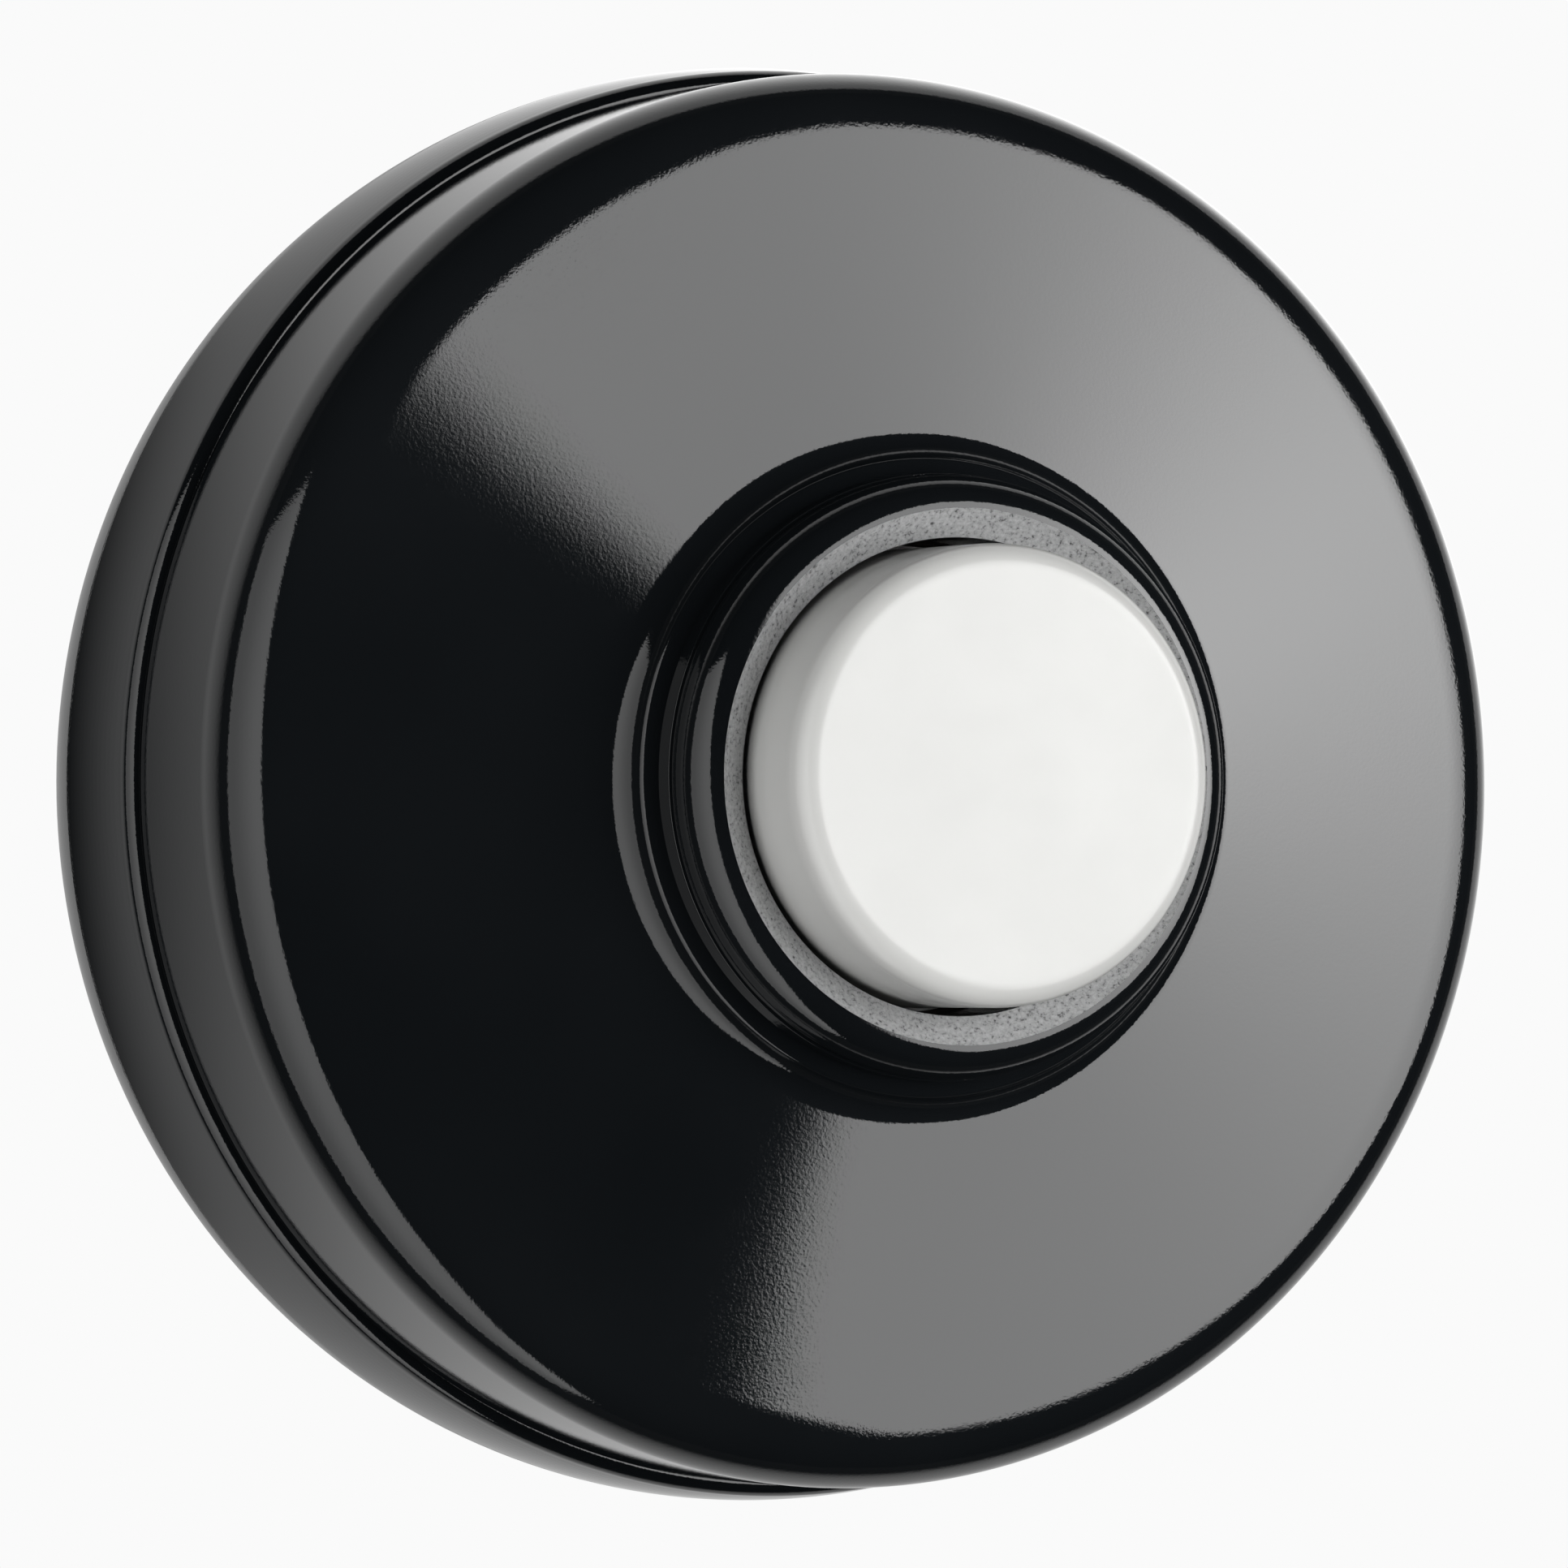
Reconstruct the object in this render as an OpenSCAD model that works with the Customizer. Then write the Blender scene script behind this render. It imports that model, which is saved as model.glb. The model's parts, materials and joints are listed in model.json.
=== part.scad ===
// Surface-mounted round bell push: a threaded moulded base on the wall, a screw-on
// conical cap with a stepped collar, and a white push button that closes a leaf contact.
//
// Every part is drawn lying on its back: x is right, y is up the wall and z is the
// distance from the wall. as_mounted() then stands the whole thing up, so that +Z is up
// and the button faces -Y, with the origin at the centre of the flat back.

/* [Case] */
// Outside diameter of the base
base_d = 65; // [64:0.5:66]
// Distance from the wall to the seat that faces the cap
base_depth = 11.9; // [11.7:0.1:12]
// Radius of the base's convex side
base_curve_r = 18.3; // [17:0.1:22]
// Height above the wall where the side bulges out furthest
belly_z = 8; // [7:0.1:8.5]
// Outside diameter of the cap
cap_d = 63.2; // [62.8:0.1:63.6]
// Gap between the base's seat and the cap's rim
seam_gap = 0.15; // [0.1:0.05:0.2]
// Height of the cap's rounded shoulder above the wall
shoulder_z = 18.9; // [18.7:0.1:19.1]
// Radius of the shoulder
shoulder_r = 3.2; // [3:0.1:3.4]
// Slope of the conical face, measured from the wall's plane
cone_slope = 14.5; // [14:0.1:15]

/* [Collar] */
// Radius of the cove that sweeps up from the face to the collar
cove_r = 1.8; // [1.6:0.1:2]
// Radius of the collar's lower step
step_r = 14.05; // [13.9:0.05:14.2]
// Slope of the step's top, rising inwards to the lip
step_slope = 26; // [15:1:28]
// Radius of the collar's lip above the step
lip_r = 13.3; // [13.2:0.05:13.4]
// Radius of the lip's rounded edge
lip_round = 1.85; // [1.8:0.05:1.9]
// Outer radius of the ground ring around the button
ring_r = 11.8; // [11.7:0.05:11.9]
// Distance from the wall to the ground ring's outer edge
ring_z = 30.5; // [30.4:0.05:30.6]
// How far the ground ring dips from its outer edge to the bore
ring_dish = 0.85; // [0.6:0.05:1]
// Radius of the bore that the button slides in
bore_r = 10.5; // [10.45:0.05:10.6]

/* [Button] */
// Diameter of the push button
button_d = 20.3; // [20:0.1:20.4]
// How far the button stands out past the ground ring
button_proud = 4; // [3.8:0.05:4.1]
// How far the button can be pressed
press_travel = 1.6; // [1.2:0.1:1.6]

/* [Screw thread] */
// Advance of the cap in one turn
thread_pitch = 4; // [3.8:0.1:4]
// Outside radius of the thread ridge on the neck
thread_crest_r = 26.9; // [26.8:0.05:26.95]

/* [Wall fixing] */
// Distance between the two wall screws
screw_spacing = 30; // [29:0.5:30]
// Width of each screw slot
slot_w = 4.5; // [4.2:0.1:4.5]
// End-to-end length of each screw slot
slot_l = 8.5; // [7:0.5:8.5]
// Diameter of the cable hole through the grommet
cable_d = 5.2; // [4.5:0.1:5.4]

/* [Hidden] */

$fn = 96;
play = 0.05;                  // clearance between fitted pieces of one body

base_r = base_d / 2;
cap_r = cap_d / 2;
rim_z = base_depth + seam_gap;
base_edge_r = 0.78;           // rounded edge of the base beside the seam
rim_edge_r = 0.15;            // rounded edge of the cap's rim

floor_z = 4;                  // inside floor of the base
chamber_r = 22.5;             // inside radius of the base and its neck
neck_r = 26;                  // core radius of the threaded neck
neck_z = 17.5;                // top of the neck
cap_bore_r = 27.4;            // bore of the cap around the neck
cap_ridge_r = 26.5;           // inside radius of the cap's thread ridge
thread_start_z = 13.2;        // centre of both ridges where they begin

seal_in_r = 28.7;
seal_out_r = 30.5;
seal_groove_z = 10.2;         // floor of the groove that the seal ring lies in
seal_play = 0.3;              // gap beside the seal ring on each side

wall_t = 3.1;                 // thickness of the cap's conical wall, straight through
roof_corner_z = 18.2;         // where the cap's bore ends and its roof begins
collar_shoulder_z = 24;       // inside shoulder that stops the button's flange
counterbore_r = 12.8;         // bore that the button's flange slides in

// The face's straight line starts where the shoulder's arc is tangent to it.
face_start_r = cap_r - shoulder_r + shoulder_r * sin(cone_slope);
face_start_z = shoulder_z + shoulder_r * cos(cone_slope);

button_r = button_d / 2;
button_edge_r = 1.2;          // round on the button's front edge
button_top_z = ring_z + button_proud;
button_dome = 0.2;            // rise of the button's slightly domed front
flange_r = 12.2;              // flange that keeps the button in the cap
flange_z = 22;
flange_t = 1.4;
stem_r = 2;
boss_r = 3.6;                 // socket inside the button that holds the stem
collar_h = 1.2;               // depth of the stem's collar
stem_tail_h = 6;              // length of stem held in the socket

plate_z = 19;                 // wall side of the retainer plate
plate_t = 0.8;
plate_r = 18.5;
plate_hole_r = 4;
vent_r = 3;                   // the three lightening holes in the plate
vent_at_r = 11;
boss_at_r = 15.8;             // circle of the three retainer screws
boss_angles = [90, 210, 330];
boss_out_r = 2.9;
insert_l = 3;                 // length of the brass inserts in the bosses
insert_r = 1.8;               // outside radius of a large threaded insert
small_insert_r = 1.5;         // outside radius of a small threaded insert
terminal_insert_r = 2.4;      // outside radius of a terminal's insert
m2_hole_r = 1.1;              // clearance hole for an M2 screw
m2_thread_r = 0.95;
m3_hole_r = 1.6;              // clearance hole for an M3 screw
m3_thread_r = 1.45;

leaf_z = 14;                  // wall side of the spring leaf
leaf_t = 0.5;
leaf_top_z = leaf_z + leaf_t;
leaf_root_x = -12;            // where the moving leaf leaves its clamp
leaf_tip_x = 10.5;
leaf_w = 7;
contact_x = 8;                // both contacts are centred here
strip_z = 9;                  // wall side of the fixed strip
strip_t = 0.8;
strip_top_z = strip_z + strip_t;
contact_h = 0.6;              // thickness of the moving contact
rivet_r = 0.75;               // shank that fixes a contact to its metal
rivet_hole_r = 0.8;
rivet_head_r = 1.2;
closing_gap = 0.33;           // left between the contacts' centres at full press
leaf_split = 0.04;            // gap at the root of the moving leaf

// Pressing the button swings the leaf about its root, so its contact moves further.
contact_travel = press_travel * (contact_x - leaf_root_x) / -leaf_root_x;
fixed_contact_h = leaf_z - contact_h - contact_travel - closing_gap - strip_top_z;

leaf_screw_xy = [[-15.7, 2.1], [-15.7, -2.1]];
strip_screw_xy = [15.7, 0];
terminal_x = 13;
terminal_y = -11;
clamp_t = 1.4;                // thickness of the bar over the leaf's tail
washer_t = 0.9;               // thickness of a terminal's square washer
left_insert_z = 6;            // wall ends of the inserts in the two pads
right_insert_z = 3.5;
small_insert_z = 8;

grommet_xy = [11.5, 12];
grommet_hole_r = 3.65;

slot_recess = 4.3;            // how much larger the screw heads' recess is than the slot
recess_h = 1.5;

// Height of the conical face at radius r
function face_z(r) = face_start_z + (face_start_r - r) * tan(cone_slope);

// Points of an arc around [cx, cz] from angle a0 to a1
function arc(cx, cz, r, a0, a1, steps = 8) =
    [for (i = [0:steps]) let (a = a0 + (a1 - a0) * i / steps) [cx + r * cos(a), cz + r * sin(a)]];

// Turns the lying model to stand on the wall, facing -Y
module as_mounted() {
    rotate([90, 0, 0]) children();
}

// A ring or disc between two heights
module ring(r_out, r_in, z0, z1) {
    difference() {
        translate([0, 0, z0]) cylinder(r = r_out, h = z1 - z0);
        if (r_in > 0) translate([0, 0, z0 - 1]) cylinder(r = r_in, h = z1 - z0 + 2);
    }
}

// A plain round rod between two heights
module rod(r, z0, z1) {
    translate([0, 0, z0]) cylinder(r = r, h = z1 - z0);
}

// A block between two corners
module block(low, high) {
    translate(low) cube(high - low);
}

// Helical ridge swept from a root radius to a crest radius, run out at both ends
module thread_ridge(root_r, crest_r, z_start, a_start, turns) {
    steps = ceil(turns * 40);
    root_half = 1.1;          // half widths of the ridge at its root and its crest
    crest_half = 0.6;
    function fade(i) = min(1, 0.2 + i / 5, 0.2 + (steps - i) / 5);
    function around(r, a, z) = [r * cos(a), r * sin(a), z];
    points = [
        for (i = [0:steps])
            let (a = a_start + 360 * turns * i / steps)
            let (z = z_start + thread_pitch * turns * i / steps)
            let (top = root_r + (crest_r - root_r) * fade(i))
            each [
                around(root_r, a, z - root_half), around(top, a, z - crest_half),
                around(top, a, z + crest_half), around(root_r, a, z + root_half)
            ]
    ];
    sides = [
        for (i = [0:steps - 1], k = [0:3])
            let (p = 4 * i + k, q = 4 * i + (k + 1) % 4)
            each [[p, q, q + 4], [p, q + 4, p + 4]]
    ];
    last = 4 * steps;
    ends = [[3, 2, 1], [3, 1, 0], [last, last + 1, last + 2], [last, last + 2, last + 3]];
    outward = crest_r > root_r;
    faces = [for (f = concat(sides, ends)) outward ? f : [f[2], f[1], f[0]]];
    polyhedron(points, faces);
}

// Cheese-head screw standing with the underside of its head at z
module slotted_screw(xy, z, head_r, head_h, shank_r, shank_l, slot_angle) {
    slot_half = 0.25;
    slot_floor = head_h * 0.45;
    translate([xy[0], xy[1], z]) difference() {
        union() {
            rod(head_r, 0, head_h);
            rod(shank_r, -shank_l, 0.1);
        }
        rotate([0, 0, slot_angle])
            block([-head_r - 1, -slot_half, slot_floor], [head_r + 1, slot_half, head_h + 1]);
    }
}

// Puts a child at each of the three retainer screws
module at_bosses() {
    for (a = boss_angles) rotate([0, 0, a]) translate([boss_at_r, 0, 0]) children();
}

// Puts a child at a point of the plan
module at(xy) {
    translate([xy[0], xy[1], 0]) children();
}

// Slot-shaped cutter, long way up the wall, open through its thickness
module upright_slot(width, length, z0, z1) {
    travel = (length - width) / 2;
    for (dy = [-travel, travel]) translate([0, dy, 0]) rod(width / 2, z0, z1);
    block([-width / 2, -travel, z0], [width / 2, travel, z1]);
}

// ---- case -------------------------------------------------------------------------

// Half-section of the base's outer form
module base_section() {
    back_angle = asin(belly_z / base_curve_r);
    front_angle = asin((base_depth - base_edge_r - belly_z) / base_curve_r);
    edge_c = base_r - base_curve_r + (base_curve_r - base_edge_r) * cos(front_angle);
    polygon(concat(
        [[0, 0]],
        arc(base_r - base_curve_r, belly_z, base_curve_r, -back_angle, front_angle, 14),
        arc(edge_c, base_depth - base_edge_r, base_edge_r, front_angle + 12, 90, 5),
        [[0, base_depth]]
    ));
}

// Raised pads that carry the contacts, joined to the chamber's wall
module contact_pads() {
    reach = chamber_r + 1;
    bottom_y = -17;
    top_y = 6;
    inner_x = 10.5;
    foot_z = floor_z - 1;
    intersection() {
        union() {
            block([-reach, bottom_y, foot_z], [leaf_root_x - 0.3, top_y, leaf_z]);
            block([-reach, bottom_y, foot_z], [-9, -4.6, leaf_z]);
            block([inner_x, bottom_y, foot_z], [reach, top_y, strip_z]);
        }
        rod(reach, 0, neck_z);
    }
}

// Holes in the pads for the threaded inserts
module pad_holes() {
    at([-terminal_x, terminal_y]) rod(terminal_insert_r + play, left_insert_z, leaf_z + 1);
    at([terminal_x, terminal_y]) rod(terminal_insert_r + play, right_insert_z, strip_z + 1);
    for (xy = leaf_screw_xy) at(xy) rod(small_insert_r + play, small_insert_z, leaf_z + 1);
    at(strip_screw_xy) rod(insert_r + play, right_insert_z, strip_z + 1);
}

module base() {
    base_turns = 0.75;
    color([0.05, 0.05, 0.055]) as_mounted() difference() {
        union() {
            difference() {
                union() {
                    rotate_extrude() base_section();
                    rod(neck_r, base_depth - 1, neck_z);
                    thread_ridge(neck_r - 0.4, thread_crest_r, thread_start_z, 0, base_turns);
                }
                rod(chamber_r, floor_z, neck_z + 1);
                ring(seal_out_r + seal_play, seal_in_r - seal_play,
                     seal_groove_z, base_depth + 1);
            }
            contact_pads();
        }
        for (y = [-screw_spacing / 2, screw_spacing / 2]) at([0, y]) {
            upright_slot(slot_w, slot_l, -1, floor_z + 1);
            upright_slot(slot_w + slot_recess, slot_l + slot_recess,
                         floor_z - recess_h, floor_z + 1);
        }
        at(grommet_xy) rod(grommet_hole_r, -1, floor_z + 1);
        pad_holes();
    }
}

module seal_ring() {
    color([0.1, 0.1, 0.1]) as_mounted() ring(seal_out_r, seal_in_r, seal_groove_z, rim_z);
}

// Half-section of the cap's outer form, closed down the middle. From the rim inwards it
// has a straight side, a round shoulder, the conical face, a cove, a sloping step, and a
// lip whose round ends at the ground ring, which dips towards the middle.
module cap_section() {
    cove_c = step_r + cove_r;
    cove_z = face_z(cove_c - cove_r * sin(cone_slope)) + cove_r * cos(cone_slope);
    edge_lean = 20;           // lean of the side where the cove meets the step's round edge
    step_edge = 0.35;         // round on the step's outer edge
    edge_c = cove_c - (cove_r + step_edge) * cos(edge_lean);
    edge_z = cove_z - (cove_r + step_edge) * sin(edge_lean);
    groove = 0.1;             // shallow groove at the foot of the lip
    foot_r = lip_r + groove;
    foot_z = edge_z + step_edge / cos(step_slope) + (edge_c - foot_r) * tan(step_slope);
    lip_c = lip_r - lip_round;
    lip_end = acos((ring_r - lip_c) / lip_round);
    lip_z = ring_z - lip_round * sin(lip_end);
    dip = ring_dish / (ring_r - bore_r);
    polygon(concat(
        [[0, rim_z]],
        arc(cap_r - rim_edge_r, rim_z + rim_edge_r, rim_edge_r, -90, 0, 3),
        arc(cap_r - shoulder_r, shoulder_z, shoulder_r, 0, 90 - cone_slope, 12),
        arc(cove_c, cove_z, cove_r, 270 - cone_slope, 180 + edge_lean, 8),
        arc(edge_c, edge_z, step_edge, edge_lean, 90 - step_slope, 3),
        [[foot_r, foot_z], [foot_r, lip_z - 5 * groove]],
        [[lip_r - groove, lip_z - 4.5 * groove], [lip_r, lip_z - 3.5 * groove]],
        arc(lip_c, lip_z, lip_round, 0, lip_end, 10),
        [[0, ring_z - ring_r * dip]]
    ));
}

// Half-section of the hollow inside the cap
module cap_hollow_section() {
    rise = wall_t / cos(cone_slope);
    inner_r = cap_bore_r - 2.2;   // end of the bevel between the bore and the roof
    polygon([
        [0, 0], [cap_bore_r, 0], [cap_bore_r, roof_corner_z],
        [inner_r, face_z(inner_r) - rise],
        [counterbore_r, face_z(counterbore_r) - rise],
        [counterbore_r, collar_shoulder_z], [bore_r, collar_shoulder_z],
        [bore_r, ring_z + 1], [0, ring_z + 1]
    ]);
}

// Three bosses under the cap's roof
module retainer_bosses() {
    at_bosses() rod(boss_out_r, plate_z + plate_t, face_z(boss_at_r) - wall_t / 2);
}

module cap() {
    cap_turns = 0.9;
    color([0.05, 0.05, 0.055]) as_mounted() difference() {
        union() {
            difference() {
                rotate_extrude() cap_section();
                rotate_extrude() cap_hollow_section();
            }
            thread_ridge(cap_bore_r + 0.4, cap_ridge_r, thread_start_z, 180, cap_turns);
            retainer_bosses();
        }
        // clear of the button's flange
        rod(counterbore_r, plate_z, collar_shoulder_z);
        at_bosses() rod(insert_r + play, plate_z, plate_z + plate_t + insert_l + play);
    }
}

// ---- button and its retainer, carried in the cap -----------------------------------

module push_button() {
    skirt_t = 2.1;
    crown_t = 3;
    edge_z = button_top_z - button_edge_r;
    dome_r = pow(button_r - button_edge_r, 2) / (2 * button_dome);
    dome_a = asin((button_r - button_edge_r) / dome_r);
    color([0.93, 0.93, 0.91]) as_mounted() difference() {
        rotate_extrude() polygon(concat(
            [[0, flange_z], [flange_r, flange_z], [flange_r, flange_z + flange_t]],
            [[button_r, flange_z + flange_t]],
            arc(button_r - button_edge_r, edge_z, button_edge_r, 0, 90, 8),
            arc(0, button_top_z + button_dome - dome_r, dome_r, 90 - dome_a, 90, 5)
        ));
        ring(button_r - skirt_t, boss_r, flange_z - 1, button_top_z - crown_t);
        rod(boss_r + 0.1, flange_z - 1, flange_z + collar_h);
        rod(stem_r + play, flange_z - 1, flange_z + stem_tail_h);
    }
}

// Turned stem with a round nose, a collar that seats in the button and a plain tail
module button_stem() {
    collar_r = boss_r - 0.2;
    collar_z = flange_z + collar_h;
    color([0.72, 0.58, 0.28]) as_mounted() rotate_extrude() polygon(concat(
        arc(0, leaf_top_z + stem_r, stem_r, -90, 0, 8),
        [[stem_r, flange_z], [collar_r, flange_z], [collar_r, collar_z]],
        [[stem_r, collar_z], [stem_r, flange_z + stem_tail_h], [0, flange_z + stem_tail_h]]
    ));
}

module flange_washer() {
    color([0.2, 0.12, 0.08]) as_mounted()
        ring(flange_r - 0.1, button_r + 0.2, flange_z + flange_t, collar_shoulder_z);
}

module retainer_plate() {
    color([0.75, 0.75, 0.74]) as_mounted() difference() {
        ring(plate_r, plate_hole_r, plate_z, plate_z + plate_t);
        at_bosses() rod(m2_hole_r, plate_z - 1, plate_z + 2);
        for (a = boss_angles) rotate([0, 0, a + 60]) translate([vent_at_r, 0, 0])
            rod(vent_r, plate_z - 1, plate_z + 2);
    }
}

module cap_inserts() {
    top_z = plate_z + plate_t + insert_l;
    color([0.78, 0.62, 0.3]) as_mounted()
        at_bosses() ring(insert_r, m2_thread_r + play, plate_z + plate_t, top_z);
}

module retainer_screws() {
    head_r = 1.9;
    head_h = 1.2;
    shank_l = 3.6;
    color([0.8, 0.8, 0.8]) as_mounted() at_bosses() translate([0, 0, plate_z])
        rotate([180, 0, 0]) slotted_screw([0, 0], 0, head_r, head_h, m2_thread_r, shank_l, 25);
}

// ---- contacts, fixed in the base ---------------------------------------------------

// Clamped end of the spring strip, with a lug that runs down to the left terminal
module leaf_tail() {
    tail_x = -19;
    tail_w = 8;
    lug_w = 7;
    lug_l = 10.2;
    lug_x = -terminal_x - lug_w / 2;
    color([0.8, 0.6, 0.3]) as_mounted() difference() {
        union() {
            block([tail_x, -tail_w / 2, leaf_z],
                  [leaf_root_x - leaf_split, tail_w / 2, leaf_top_z]);
            block([lug_x, -tail_w / 2 - lug_l, leaf_z],
                  [lug_x + lug_w, -tail_w / 2, leaf_top_z]);
        }
        for (xy = leaf_screw_xy) at(xy) rod(m2_hole_r, leaf_z - 1, leaf_z + 1);
        at([-terminal_x, terminal_y]) rod(m3_hole_r, leaf_z - 1, leaf_z + 1);
    }
}

module contact_leaf() {
    tip_taper = 3;
    root_x = leaf_root_x + leaf_split;
    taper_x = leaf_tip_x - tip_taper;
    color([0.8, 0.6, 0.3]) as_mounted() difference() {
        translate([0, 0, leaf_z]) linear_extrude(leaf_t) polygon([
            [root_x, -leaf_w / 2], [taper_x, -leaf_w / 2], [leaf_tip_x, -leaf_w / 4],
            [leaf_tip_x, leaf_w / 4], [taper_x, leaf_w / 2], [root_x, leaf_w / 2]
        ]);
        at([contact_x, 0]) rod(rivet_hole_r, leaf_z - 1, leaf_z + 1);
    }
}

module moving_contact() {
    pad_r = 1.5;
    color([0.85, 0.85, 0.83]) as_mounted() at([contact_x, 0]) {
        rod(pad_r, leaf_z - contact_h, leaf_z);
        rod(rivet_r, leaf_z - 0.1, leaf_top_z + 0.1);
        rod(rivet_head_r, leaf_top_z, leaf_top_z + 0.4);
    }
}

// Stamped strip under the leaf's tip, with a lug that runs down to the right terminal
module fixed_strip() {
    tongue_x = 4.5;
    strip_end_x = 19;
    strip_w = 7;
    lug_l = 10.7;
    lug_x = terminal_x - strip_w / 2;
    color([0.8, 0.6, 0.3]) as_mounted() difference() {
        union() {
            block([tongue_x, -strip_w / 2, strip_z], [strip_end_x, strip_w / 2, strip_top_z]);
            block([lug_x, -strip_w / 2 - lug_l, strip_z],
                  [lug_x + strip_w, -strip_w / 2, strip_top_z]);
        }
        at(strip_screw_xy) rod(m3_hole_r - 0.2, strip_z - 1, strip_z + 2);
        at([terminal_x, terminal_y]) rod(m3_hole_r, strip_z - 1, strip_z + 2);
        at([contact_x, 0]) rod(rivet_hole_r, strip_z - 1, strip_z + 2);
    }
}

module fixed_contact() {
    pad_r = 1.6;
    color([0.85, 0.85, 0.83]) as_mounted() at([contact_x, 0]) {
        rod(pad_r, strip_top_z, strip_top_z + fixed_contact_h);
        rod(rivet_r, strip_z - 0.1, strip_top_z + 0.1);
        rod(rivet_head_r, strip_z - 0.4, strip_z);
    }
}

// Bar that presses the leaf's tail onto its pad
module leaf_clamp() {
    half_l = 4.2;
    color([0.75, 0.75, 0.74]) as_mounted() difference() {
        block([-18.4, -half_l, leaf_top_z], [-12.8, half_l, leaf_top_z + clamp_t]);
        for (xy = leaf_screw_xy) at(xy) rod(m2_hole_r, leaf_top_z - 1, leaf_top_z + 2);
    }
}

module contact_inserts() {
    color([0.78, 0.62, 0.3]) as_mounted() {
        for (xy = leaf_screw_xy) at(xy)
            ring(small_insert_r, m2_thread_r + play, small_insert_z, leaf_z);
        at(strip_screw_xy) ring(insert_r, 1.2 + play, right_insert_z, strip_z);
    }
}

module leaf_screws() {
    head_r = 1.7;
    head_h = 1.2;
    shank_l = 6;
    color([0.8, 0.8, 0.8]) as_mounted() for (xy = leaf_screw_xy)
        slotted_screw(xy, leaf_top_z + clamp_t, head_r, head_h, m2_thread_r, shank_l, 35);
}

module strip_screw() {
    head_r = 2.2;
    head_h = 1.4;
    shank_r = 1.2;
    shank_l = 5;
    color([0.8, 0.8, 0.8]) as_mounted()
        slotted_screw(strip_screw_xy, strip_top_z, head_r, head_h, shank_r, shank_l, 70);
}

module terminal_inserts() {
    bore = m3_thread_r + play;
    color([0.78, 0.62, 0.3]) as_mounted() {
        at([-terminal_x, terminal_y]) ring(terminal_insert_r, bore, left_insert_z, leaf_z);
        at([terminal_x, terminal_y]) ring(terminal_insert_r, bore, right_insert_z, strip_z);
    }
}

// Height of the top of the metal that each terminal clamps a wire against
function terminal_seat(side) = side < 0 ? leaf_top_z : strip_top_z;

module terminal_washers() {
    half = 3.1;
    color([0.82, 0.82, 0.8]) as_mounted() for (side = [-1, 1])
        at([side * terminal_x, terminal_y]) let (z = terminal_seat(side)) difference() {
            block([-half, -half, z], [half, half, z + washer_t]);
            rod(m3_hole_r, z - 1, z + 2);
        }
}

module terminal_screws() {
    head_r = 2.75;
    head_h = 1.8;
    shank_l = 5.5;
    color([0.78, 0.62, 0.3]) as_mounted() for (side = [-1, 1])
        slotted_screw([side * terminal_x, terminal_y], terminal_seat(side) + washer_t,
                      head_r, head_h, m3_thread_r, shank_l, side * 40);
}

module cable_grommet() {
    back_z = 0.3;
    body_r = grommet_hole_r - play;
    flange = 5;
    flange_h = 1.3;
    bevel = 0.4;
    color([0.12, 0.12, 0.12]) as_mounted() at(grommet_xy) rotate_extrude() polygon([
        [cable_d / 2, back_z], [body_r, back_z], [body_r, floor_z], [flange, floor_z],
        [flange, floor_z + flange_h - bevel], [flange - bevel, floor_z + flange_h],
        [cable_d / 2, floor_z + flange_h]
    ]);
}

base();
seal_ring();
cap();
push_button();
button_stem();
flange_washer();
retainer_plate();
cap_inserts();
retainer_screws();
leaf_tail();
contact_leaf();
moving_contact();
fixed_strip();
fixed_contact();
leaf_clamp();
contact_inserts();
leaf_screws();
strip_screw();
terminal_inserts();
terminal_washers();
terminal_screws();
cable_grommet();
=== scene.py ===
"""Looks for the round bell push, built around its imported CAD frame.

Shapes are drawn lying on their back in millimetres, as the part is designed: x right, y up
the wall, z the distance from the wall. settle() then scales them to metres and stands them
up in the row frame, where +Z is up and the button faces -Y.
"""
import json
import math

import bmesh
import bpy
from mathutils import Matrix, Vector


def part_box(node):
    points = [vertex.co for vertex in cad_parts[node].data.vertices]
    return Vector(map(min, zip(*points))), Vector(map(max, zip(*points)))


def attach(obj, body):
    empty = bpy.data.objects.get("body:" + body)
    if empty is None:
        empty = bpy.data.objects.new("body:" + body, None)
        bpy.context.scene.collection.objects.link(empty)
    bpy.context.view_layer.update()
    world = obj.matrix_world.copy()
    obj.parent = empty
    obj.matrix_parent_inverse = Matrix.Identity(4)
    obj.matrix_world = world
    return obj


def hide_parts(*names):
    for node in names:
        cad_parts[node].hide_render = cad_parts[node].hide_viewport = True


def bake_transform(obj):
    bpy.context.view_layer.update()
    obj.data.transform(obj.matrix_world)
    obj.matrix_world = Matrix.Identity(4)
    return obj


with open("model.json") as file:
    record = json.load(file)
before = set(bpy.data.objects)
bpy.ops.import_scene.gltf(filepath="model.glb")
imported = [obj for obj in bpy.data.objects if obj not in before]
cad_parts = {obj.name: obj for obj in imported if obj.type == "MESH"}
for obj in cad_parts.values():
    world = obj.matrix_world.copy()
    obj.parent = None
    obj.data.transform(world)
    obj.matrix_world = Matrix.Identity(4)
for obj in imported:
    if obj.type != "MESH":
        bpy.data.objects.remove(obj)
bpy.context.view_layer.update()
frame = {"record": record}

MM = 0.001
SIDES = 256
SMALL_SIDES = 64
STAND_UP = Matrix.Rotation(math.radians(90), 4, "X") @ Matrix.Scale(MM, 4)


# ---- sizes, in mm, read from the CAD frame where it shows them ------------------------

def lying_box(node):
    """The CAD node's box in the lying frame, in mm: lowest and highest corner."""
    low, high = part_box(node)
    return (
        (low[0] / MM, low[2] / MM, -high[1] / MM),
        (high[0] / MM, high[2] / MM, -low[1] / MM),
    )


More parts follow.
